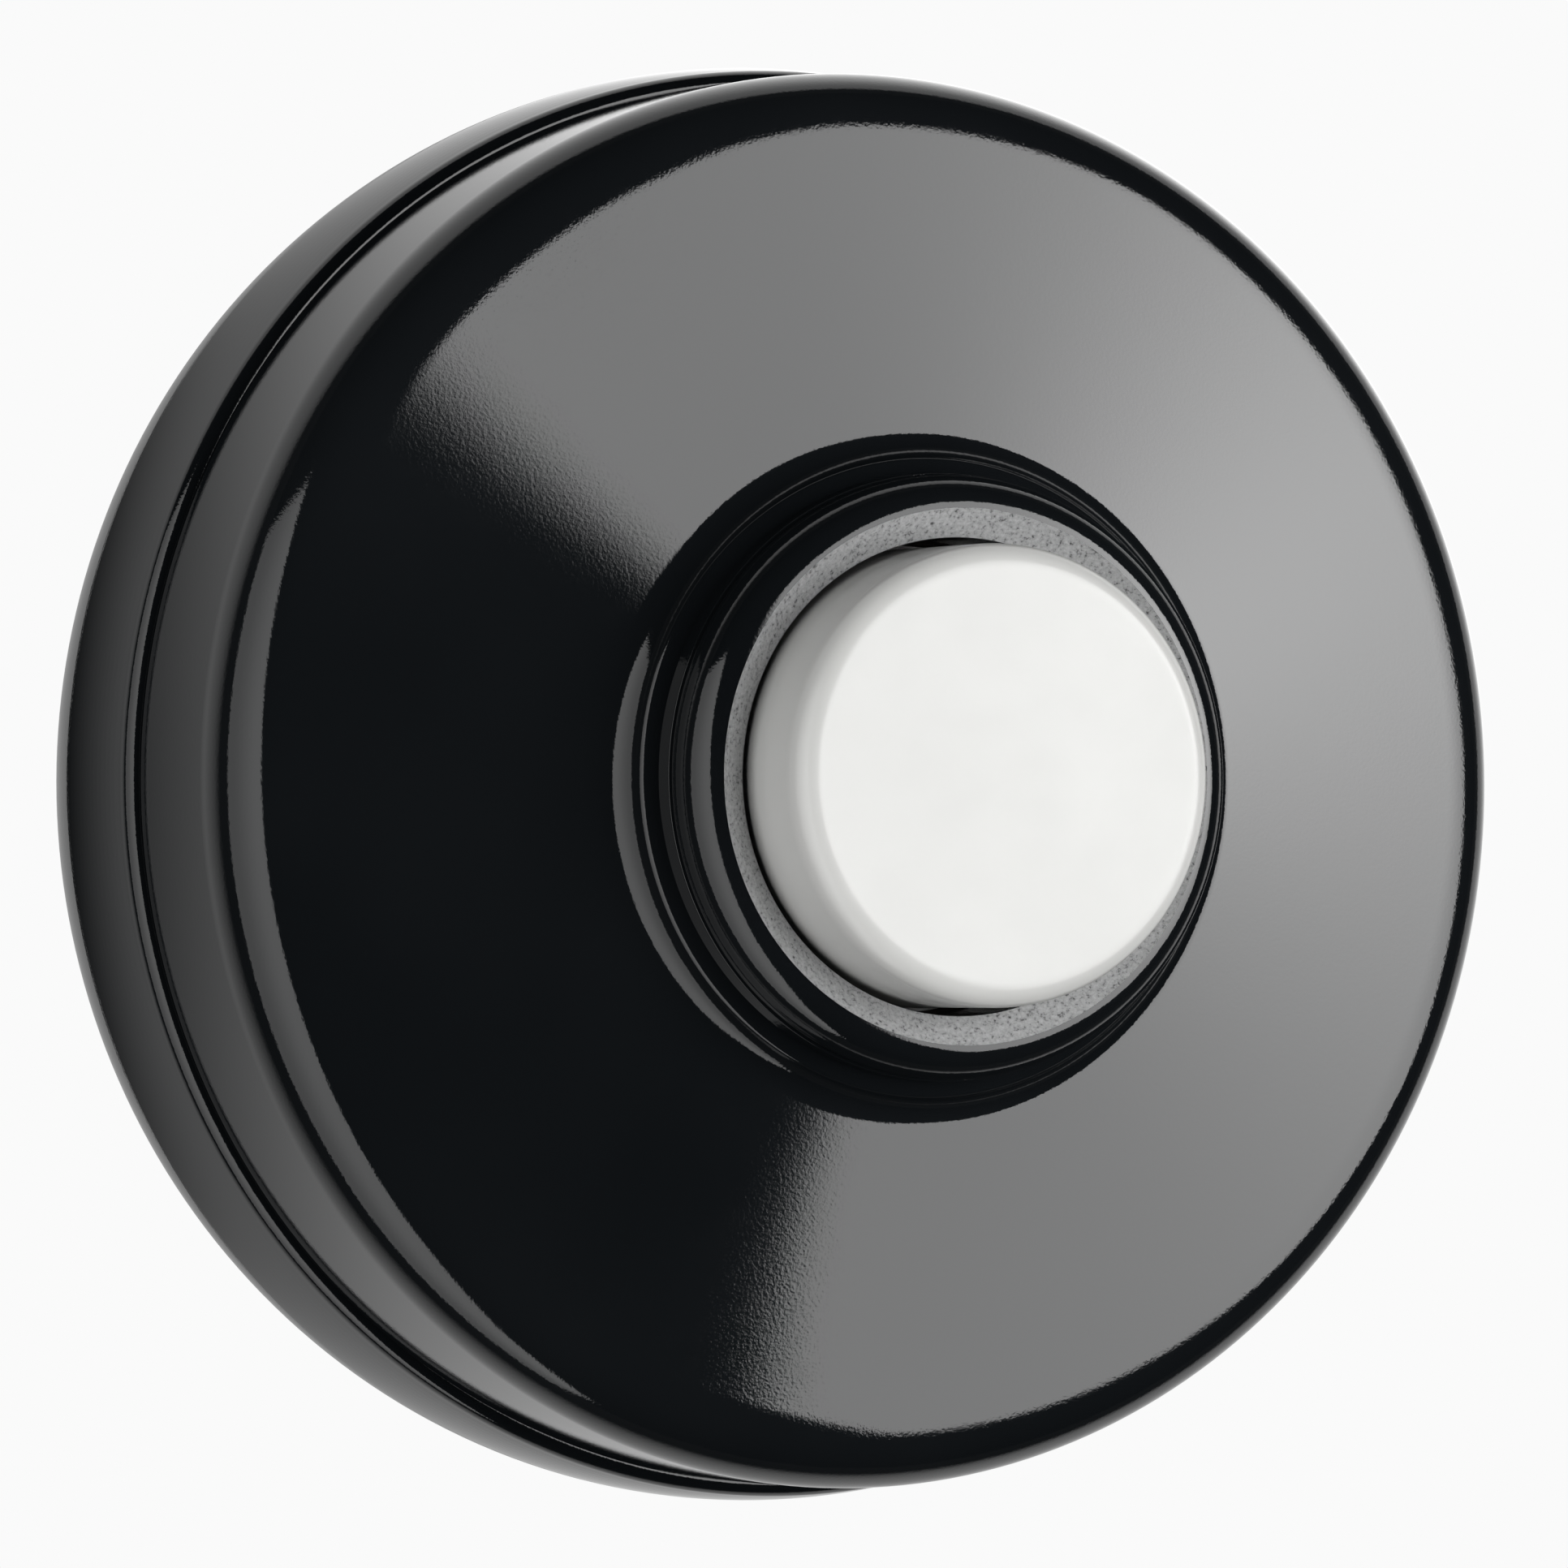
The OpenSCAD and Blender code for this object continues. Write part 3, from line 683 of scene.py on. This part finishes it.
def build_button():
    """The white button: a domed crown, a flange, and a socket for the stem inside."""
    radius, edge, dome = 10.15, 1.2, 0.2
    top_z = BUTTON_FRONT_Z - dome
    flange_top = FLANGE_Z + 1.4
    dome_r = (radius - edge) ** 2 / (2 * dome)
    dome_angle = math.degrees(math.asin((radius - edge) / dome_r))
    outline = fillet([
        (FLANGE_R, FLANGE_Z, 0.2), (FLANGE_R, flange_top, 0.2), (radius, flange_top, 0.15),
        (radius, top_z - edge, 0)])
    outline += arc(radius - edge, top_z - edge, edge, 0, 90, 16)[1:]
    outline += arc(0, BUTTON_FRONT_Z - dome_r, dome_r, 90 - dome_angle, 90, 14)[1:]
    skirt, socket, crown = radius - 2.1, 3.6, top_z - 3
    hole, hole_end, collar_z = STEM_R + 0.05, FLANGE_Z + STEM_DEPTH, FLANGE_Z + STEM_COLLAR_H
    outline += [(0, hole_end), (hole, hole_end), (hole, collar_z)]
    outline += fillet([
        (socket + 0.1, collar_z, 0), (socket + 0.1, FLANGE_Z + 2, 0),
        (socket, FLANGE_Z + 2.2, 0), (socket, crown, 0.4), (skirt, crown, 0.4),
        (skirt, FLANGE_Z, 0.2)])
    body = lathe(tightened(outline))
    return settle("button_cap", body, ["push_button"], "button")


def build_stem():
    """The brass pin, its round nose just clear of the leaf."""
    nose_z = LEAF_TOP_Z + 0.03
    collar_z, end_z = FLANGE_Z + STEM_COLLAR_H, FLANGE_Z + STEM_DEPTH
    outline = arc(0, nose_z + STEM_R, STEM_R, -90, 0, 12)
    outline += fillet([
        (STEM_R, FLANGE_Z, 0.05), (STEM_COLLAR_R, FLANGE_Z, 0.15),
        (STEM_COLLAR_R, collar_z, 0.15), (STEM_R, collar_z, 0), (STEM_R, end_z, 0.3),
        (0, end_z, 0)])
    return settle("stem_pin", lathe(tightened(outline), 96), ["button_stem"], "button")


def build_flange_washer():
    """The fibre ring in front of the button's flange."""
    low, high = lying_box("flange_washer")
    inner = 10.35
    ring = washer(high[0], inner, low[2], high[2], 0.1, SIDES)
    return settle("flange_ring", ring, ["flange_washer"], "button")


def build_plate():
    """The steel disc behind the button, with screw holes and larger holes between them."""
    inner, screw_hole, light_hole, light_at = 4, 1.1, 3, 11
    disc = washer(PLATE_R, inner, PLATE_Z, PLATE_TOP_Z, 0.15, 160)
    low, high = PLATE_Z - PAST, PLATE_Z + 2 * PAST
    holes = []
    for angle in BOSS_ANGLES:
        holes.append(moved(rod(screw_hole, low, high), *polar(BOSS_AT_R, angle)))
        holes.append(moved(rod(light_hole, low, high), *polar(light_at, angle + 60)))
    return settle("retainer_disc", combined(disc, joined(holes)), ["retainer_plate"], "cap")


def build_cap_fixings():
    """The cap's threaded inserts and the screws that hold the plate."""
    head_r, head_h, shank_r, shank_l = 1.9, 1.2, 0.95, 3.6
    insert_top = PLATE_TOP_Z + CAP_INSERT_H
    sleeves, screws = [], []
    for angle in BOSS_ANGLES:
        x, y = polar(BOSS_AT_R, angle)
        sleeves.append(moved(washer(LARGE_INSERT_R, 1.0, PLATE_TOP_Z, insert_top, 0.1), x, y))
        fixing = flipped(screw(head_r, head_h, shank_r, shank_l, 25))
        screws.append(moved(fixing, x, y, PLATE_Z, angle))
    settle("cap_insert_sleeves", joined(sleeves), ["cap_inserts"], "cap")
    settle("retainer_screw_set", joined(screws), ["retainer_screws"], "cap")


# ---- contacts -------------------------------------------------------------------------

def build_leaf():
    """One spring strip: its tail clamped to the base, its free end moved by the stem."""
    half, tail, lug_x, lug_y = STRIP_HALF, 4.0, TERMINAL_X, LUG_END_Y
    root = LEAF_ROOT_X
    outline = fillet([
        (-STRIP_END_X, tail, 0.6), (root, tail, 0.3), (root + 0.4, half, 0.3),
        (LEAF_TIP_X - 3, half, 0.8), (LEAF_TIP_X, half / 2, 0.6), (LEAF_TIP_X, -half / 2, 0.6),
        (LEAF_TIP_X - 3, -half, 0.8), (root + 0.4, -half, 0.2), (root, -tail, 0.2),
        (-lug_x + half, -tail, 0.3), (-lug_x + half, -lug_y, 0.8),
        (-lug_x - half, -lug_y, 0.8), (-lug_x - half, -tail, 0.4),
        (-STRIP_END_X, -tail, 0.6)], 3)
    strip = slab(outline[::-1], LEAF_Z, LEAF_TOP_Z, 0.06)
    bend_from, bend_to, cuts = -13.0, -11.0, 8
    for k in range(cuts + 1):
        x = bend_from + (bend_to - bend_from) * k / cuts
        bmesh.ops.bisect_plane(strip, geom=strip.verts[:] + strip.edges[:] + strip.faces[:],
                               plane_co=(x, 0, 0), plane_no=(1, 0, 0))
    spring = settle("contact_spring", strip, ["leaf_tail", "contact_leaf"])
    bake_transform(spring)


def rivet(pad_r, pad_z, touch_z, head_z, head_h):
    """A contact rivet: a slightly domed pad on one side, a shank, and a clenched head."""
    dome_r, dome_angle, shank_r, head_r = 9, 8, 0.75, 1.2
    way = 1 if touch_z > pad_z else -1
    dome = arc(0, touch_z - way * dome_r, dome_r, way * 90, way * (90 - dome_angle), 5)
    edge_z = dome[-1][1]
    outline = dome + [(pad_r - 0.12, edge_z - way * 0.06), (pad_r, edge_z - way * 0.2),
                      (pad_r, pad_z), (shank_r, pad_z), (shank_r, head_z)]
    top = head_z - way * head_h
    outline += [(head_r, head_z), (head_r - 0.05, head_z - way * 0.2), (head_r - 0.4, top),
                (0, top)]
    return lathe(outline, SMALL_SIDES)


def build_contacts():
    """The two silver rivets that meet."""
    moving_r, fixed_r, head_h = 1.5, 1.6, 0.4
    bm = rivet(moving_r, LEAF_Z, lying_box("moving_contact")[0][2], LEAF_TOP_Z, head_h)
    settle("moving_contact_rivet", moved(bm, CONTACT_X), ["moving_contact"], "contact_arm")
    bm = rivet(fixed_r, STRIP_TOP_Z, lying_box("fixed_contact")[1][2], STRIP_Z, head_h)
    settle("fixed_contact_rivet", moved(bm, CONTACT_X), ["fixed_contact"], "base")


def build_fixed_strip():
    """The other contact strip, with its terminal lug and two holes."""
    half, lug_y, tip_x, end_x = STRIP_HALF, LUG_END_Y, 4.5, STRIP_END_X
    screw_hole, rivet_hole = 1.4, 0.78
    outline = fillet([
        (tip_x, half, 0.6), (end_x, half, 0.6), (end_x, -half, 0.6),
        (TERMINAL_X + half, -half, 0.3), (TERMINAL_X + half, -lug_y, 0.8),
        (TERMINAL_X - half, -lug_y, 0.8), (TERMINAL_X - half, -half, 0.3),
        (tip_x, -half, 0.6)], 3)
    strip = slab(outline[::-1], STRIP_Z, STRIP_TOP_Z, 0.1)
    low, high = STRIP_Z - PAST, STRIP_Z + 2 * PAST
    holes = joined([moved(rod(screw_hole, low, high), *STRIP_SCREW),
                    moved(rod(rivet_hole, low, high), CONTACT_X)])
    settle("fixed_contact_strip", combined(strip, holes), ["fixed_strip"], "base")


def build_clamp():
    """The bar over the leaf's root and its two screws."""
    low, high = lying_box("leaf_clamp")
    hole, head_r, head_h, shank_r, shank_l = 1.1, 1.7, 1.2, 0.95, 6
    bar = slab(box_outline(low[:2], high[:2], 0.7), low[2], high[2], 0.18)
    holes = joined([moved(rod(hole, low[2] - PAST, high[2] + PAST), *xy) for xy in LEAF_SCREWS])
    settle("leaf_clamp_bar", combined(bar, holes), ["leaf_clamp"], "base")
    screws = [moved(screw(head_r, head_h, shank_r, shank_l, 35 + 50 * k), *xy, high[2])
              for k, xy in enumerate(LEAF_SCREWS)]
    settle("leaf_screw_set", joined(screws), ["leaf_screws"], "base")


def build_contact_fixings():
    """The threaded inserts under both strips and the fixed strip's screw."""
    leaf_bore, strip_bore, edge = 1.0, 1.25, 0.1
    head_r, head_h, shank_r, shank_l = 2.2, 1.4, 1.2, 5
    sleeves = [moved(washer(LEAF_INSERT_R, leaf_bore, LEAF_INSERT_Z, LEAF_Z, edge), *xy)
               for xy in LEAF_SCREWS]
    strip_sleeve = washer(LARGE_INSERT_R, strip_bore, STRIP_INSERT_Z, STRIP_Z, edge)
    sleeves.append(moved(strip_sleeve, *STRIP_SCREW))
    settle("contact_insert_sleeves", joined(sleeves), ["contact_inserts"], "base")
    fixing = moved(screw(head_r, head_h, shank_r, shank_l, 70), *STRIP_SCREW, STRIP_TOP_Z)
    settle("strip_fixing_screw", fixing, ["strip_screw"], "base")


def build_terminals():
    """The two wire terminals: inserts, square washers and screws."""
    insert_bore, half, thick, hole = 1.5, 3.1, 0.9, 1.6
    head_r, head_h, shank_r, shank_l = 2.75, 1.8, 1.45, 5.5
    sides = ((-1, LEAF_TOP_Z, LEAF_TERMINAL_Z, LEAF_Z), (1, STRIP_TOP_Z, STRIP_INSERT_Z, STRIP_Z))
    sleeves, plates, screws = [], [], []
    for side, seat, low, pad_z in sides:
        x, y = side * TERMINAL_X, TERMINAL_Y
        sleeves.append(moved(washer(TERMINAL_INSERT_R, insert_bore, low, pad_z, 0.12), x, y))
        plate = slab(box_outline((-half, -half), (half, half), 0.5), seat, seat + thick, 0.15)
        pierced = combined(plate, rod(hole, seat - PAST, seat + 2 * PAST))
        plates.append(moved(pierced, x, y))
        fixing = screw(head_r, head_h, shank_r, shank_l, 0)
        screws.append(moved(fixing, x, y, seat + thick, side * 40))
    settle("terminal_insert_sleeves", joined(sleeves), ["terminal_inserts"], "base")
    settle("terminal_washer_plates", joined(plates), ["terminal_washers"], "base")
    settle("terminal_screw_set", joined(screws), ["terminal_screws"], "base")


def build_grommet():
    """The rubber bush in the cable hole, with a flange inside the case."""
    bore, flange_r, back_z, front_z = 2.6, 5, 0.3, FLOOR_Z + 1.3
    outline = fillet([
        (bore, back_z, 0.3), (GROMMET_R, back_z, 0.15), (GROMMET_R, FLOOR_Z, 0.05),
        (flange_r, FLOOR_Z, 0.2), (flange_r, front_z, 0.5), (bore, front_z, 0.5)])
    settle("grommet", moved(lathe(tightened(outline), 96), *GROMMET), ["cable_grommet"], "base")


# ---- studio ---------------------------------------------------------------------------

class Glow:
    """An emitting material whose strength may vary from place to place, in metres."""

    def __init__(self, name, strength):
        self.material = blank_material(name)
        self.tree = self.material.node_tree
        output = self.tree.nodes.new("ShaderNodeOutputMaterial")
        self.emission = self.tree.nodes.new("ShaderNodeEmission")
        self.emission.inputs["Strength"].default_value = strength
        self.tree.links.new(self.emission.outputs[0], output.inputs["Surface"])
        self.place = self.tree.nodes.new("ShaderNodeTexCoord")
        self.strength = strength

    def multiply(self, socket):
        """Multiplies the strength by one more factor."""
        self.strength = self.math("MULTIPLY", socket, self.strength)
        self.tree.links.new(self.strength, self.emission.inputs["Strength"])

    def math(self, operation, first, second=0.0):
        """One sum; each value is a socket or a number."""
        node = self.tree.nodes.new("ShaderNodeMath")
        node.operation = operation
        for socket, value in zip(node.inputs, (first, second)):
            if isinstance(value, bpy.types.NodeSocket):
                self.tree.links.new(value, socket)
            else:
                socket.default_value = value
        return node.outputs[0]

    def vector(self, operation, value):
        """A vector operation on the place and a constant, giving one number."""
        node = self.tree.nodes.new("ShaderNodeVectorMath")
        node.operation = operation
        self.tree.links.new(self.place.outputs["Object"], node.inputs[0])
        node.inputs[1].default_value = value
        return node.outputs["Value"]

    def spot(self, centre, spread, rest=0.0):
        """Brightest at the centre, falling off on a bell curve to the share at rest."""
        far = self.vector("DISTANCE", centre)
        power = self.math("MULTIPLY", self.math("MULTIPLY", far, far), -0.5 / spread ** 2)
        bell = self.math("MULTIPLY", self.math("EXPONENT", power), 1 - rest)
        self.multiply(self.math("ADD", bell, rest))

    def fade(self, source, start, end, low=0.0, high=1.0):
        """Goes smoothly from low to high as the source goes from start to end."""
        node = map_range(self.tree, start, end, low, high)
        node.interpolation_type = "SMOOTHSTEP"
        self.tree.links.new(source, node.inputs["Value"])
        self.multiply(node.outputs["Result"])


def staged(name, mesh, material, gloss_only=True):
    """A studio surface. Gloss-only surfaces are seen in reflections and nowhere else."""
    obj = placed(name, mesh)
    mesh.materials.append(material)
    obj.visible_camera = not gloss_only
    obj.visible_glossy = gloss_only
    obj.visible_diffuse = False
    obj.visible_shadow = False
    return obj


def flat_mesh(name, corners):
    """One flat face with those corners."""
    mesh = bpy.data.meshes.new(name)
    mesh.from_pydata([tuple(c) for c in corners], [], [tuple(range(len(corners)))])
    return mesh


def direction(azimuth, elevation):
    """Unit vector, azimuth to the right of straight ahead of the face, in degrees."""
    a, e = math.radians(azimuth), math.radians(elevation)
    return Vector((math.sin(a) * math.cos(e), -math.cos(a) * math.cos(e), math.sin(e)))


def aim(obj, place, target):
    """Puts a camera or light at a place and turns it to the target."""
    obj.location = place
    obj.rotation_euler = (Vector(target) - Vector(place)).to_track_quat("-Z", "Y").to_euler()


def area_light(name, azimuth, elevation, distance, size, power):
    """A soft light that only matt surfaces see."""
    data = bpy.data.lights.new(name, "AREA")
    data.shape = "RECTANGLE"
    data.size, data.size_y = size
    data.energy = power
    obj = placed(name, data)
    aim(obj, direction(azimuth, elevation) * distance, (0, 0, 0))
    obj.visible_camera = False
    obj.visible_glossy = False
    return obj


def build_key_panel():
    """The big soft light to the right of the camera, brightest at its right."""
    front = -0.5
    outline = ((-0.075, 0.105), (-0.03, 0.215), (0.115, 0.32), (0.17, 0.375), (0.26, 0.43),
               (0.6, 0.47), (0.9, 0.33), (1.12, 0.05), (1.2, -0.3), (0.85, -0.42),
               (0.3, -0.41), (0.13, -0.24))
    glow = Glow("key_glow", 6.3)
    glow.spot((0.65, front, 0.16), 0.2, 0.5)
    edge_lean = math.radians(20.6)
    across = (math.cos(edge_lean), 0, math.sin(edge_lean))
    glow.fade(glow.vector("DOT_PRODUCT", across), 0.037, 0.085)
    corners = [(x, front, z) for x, z in outline]
    staged("key_panel", flat_mesh("key_panel", corners), glow.material)


def build_side_panel():
    """A tall light at the left, which reaches far down and dims towards the wall."""
    azimuth, distance = -63, 0.7
    middle = direction(azimuth, 0) * distance
    across = Vector((math.cos(math.radians(azimuth)), math.sin(math.radians(azimuth)), 0))
    outline = ((-1.4, -6.0), (0.35, -6.0), (0.45, -2.3), (0.42, -1.5), (0.5, -0.95),
               (0.46, -0.35), (0.38, 0.05), (0.24, 0.33), (0.15, 0.43), (-0.326, 0.43),
               (-0.33, -0.8), (-0.5, -1.7))
    corners = [middle + across * x + Vector((0, 0, z)) for x, z in outline]
    glow = Glow("side_glow", 1.0)
    glow.fade(glow.vector("DOT_PRODUCT", tuple(across)), -0.25, 0.3, 0.9, 1.47)
    staged("side_panel", flat_mesh("side_panel", corners), glow.material)


def build_board():
    """The wall behind the part, seen only in reflections, with a hole at its back; it glows
    with painted light: a pool of light at the right and the part's shadow around the hole.
    """
    inner, outer, steps = 0.0326, 0.9, 96
    bm = bmesh.new()
    rings = []
    for radius in (inner, outer):
        turns = [2 * math.pi * k / steps for k in range(steps)]
        around = [(radius * math.cos(a), 0, radius * math.sin(a)) for a in turns]
        rings.append([bm.verts.new(place) for place in around])
    for k in range(steps):
        after = (k + 1) % steps
        bm.faces.new((rings[0][k], rings[1][k], rings[1][after], rings[0][after]))
    mesh = bpy.data.meshes.new("wall_board")
    bm.to_mesh(mesh)
    bm.free()
    # The board is not lit: its glow is painted light standing in for the lamps' light on the wall.
    glow = Glow("board_painted_light", 2.31)
    # Painted pool of light from the key light, to the right of and above the part.
    glow.spot((0.03, 0, 0.028), 0.024, 0.286)
    # Painted shadow: the part's own shadow and contact shade, darkest at the hole and reaching
    # further to the left.
    glow.fade(glow.vector("DISTANCE", (-0.012, 0, 0)), 0.0195, 0.036)
    # The painted glow dies away to almost nothing beyond about 0.09 to 0.15 m from the lit spot.
    glow.fade(glow.vector("DISTANCE", (0.04, 0, 0.03)), 0.09, 0.15, 1.0, 0.03)
    staged("wall_board", mesh, glow.material)


def build_floor():
    """A pale floor well below the part, which hangs on a wall."""
    height, reach = -0.25, 4.0
    corners = [(-reach, -reach, height), (reach, -reach, height),
               (reach, reach, height), (-reach, reach, height)]
    staged("floor", flat_mesh("floor", corners), Glow("floor_pale", 0.9).material, False)


def build_world():
    """White to the camera; to everything else, dark in front and light grey behind."""
    world = bpy.data.worlds.new("studio")
    bpy.context.scene.world = world
    world.use_nodes = True
    tree = world.node_tree
    tree.nodes.clear()
    new = tree.nodes.new
    output, mix = new("ShaderNodeOutputWorld"), new("ShaderNodeMixShader")
    seen, around = new("ShaderNodeBackground"), new("ShaderNodeBackground")
    path, place = new("ShaderNodeLightPath"), new("ShaderNodeTexCoord")
    split, rise = new("ShaderNodeSeparateXYZ"), map_range(tree, 0.0, 0.2, 0.0, 0.52)
    seen.inputs["Color"].default_value = (0.956, 0.956, 0.956, 1)
    link = tree.links.new
    link(place.outputs["Generated"], split.inputs[0])
    link(split.outputs["Y"], rise.inputs["Value"])
    link(rise.outputs["Result"], around.inputs["Strength"])
    link(path.outputs["Is Camera Ray"], mix.inputs["Fac"])
    link(around.outputs[0], mix.inputs[1])
    link(seen.outputs[0], mix.inputs[2])
    link(mix.outputs[0], output.inputs["Surface"])


def build_camera():
    """Left of the axis and a little below it, from about 0.6 m through a long lens."""
    data = bpy.data.cameras.new("camera")
    data.lens, data.sensor_width = 301.2, 36.0
    data.clip_start, data.clip_end = 0.01, 20.0
    camera = placed("camera", data)
    seam = Vector((0, -0.0113, 0))
    azimuth, elevation, distance = -25.3, -0.94, 0.593
    aside, below = 0.000147, 0.000048
    place = seam + direction(azimuth, elevation) * distance
    right = Vector((math.cos(math.radians(azimuth)), math.sin(math.radians(azimuth)), 0))
    aim(camera, place, seam + right * aside - Vector((0, 0, below)))
    bpy.context.scene.camera = camera


def build_studio():
    """Panels for the reflections, soft lights for the matt surfaces, and the camera."""
    build_world()
    build_key_panel()
    build_side_panel()
    build_board()
    build_floor()
    area_light("key_light", 28, 2, 0.7, (0.6, 0.45), 4.2)
    area_light("fill_light", -63, -10, 0.7, (0.5, 0.6), 2.2)
    build_camera()
    view = bpy.context.scene.view_settings
    view.view_transform = "Standard"
    view.look = "None"
    view.exposure, view.gamma = 0.0, 1.0


build_base()
build_seal()
build_cap()
build_button()
build_stem()
build_flange_washer()
build_plate()
build_cap_fixings()
build_leaf()
build_contacts()
build_fixed_strip()
build_clamp()
build_contact_fixings()
build_terminals()
build_grommet()
build_studio()
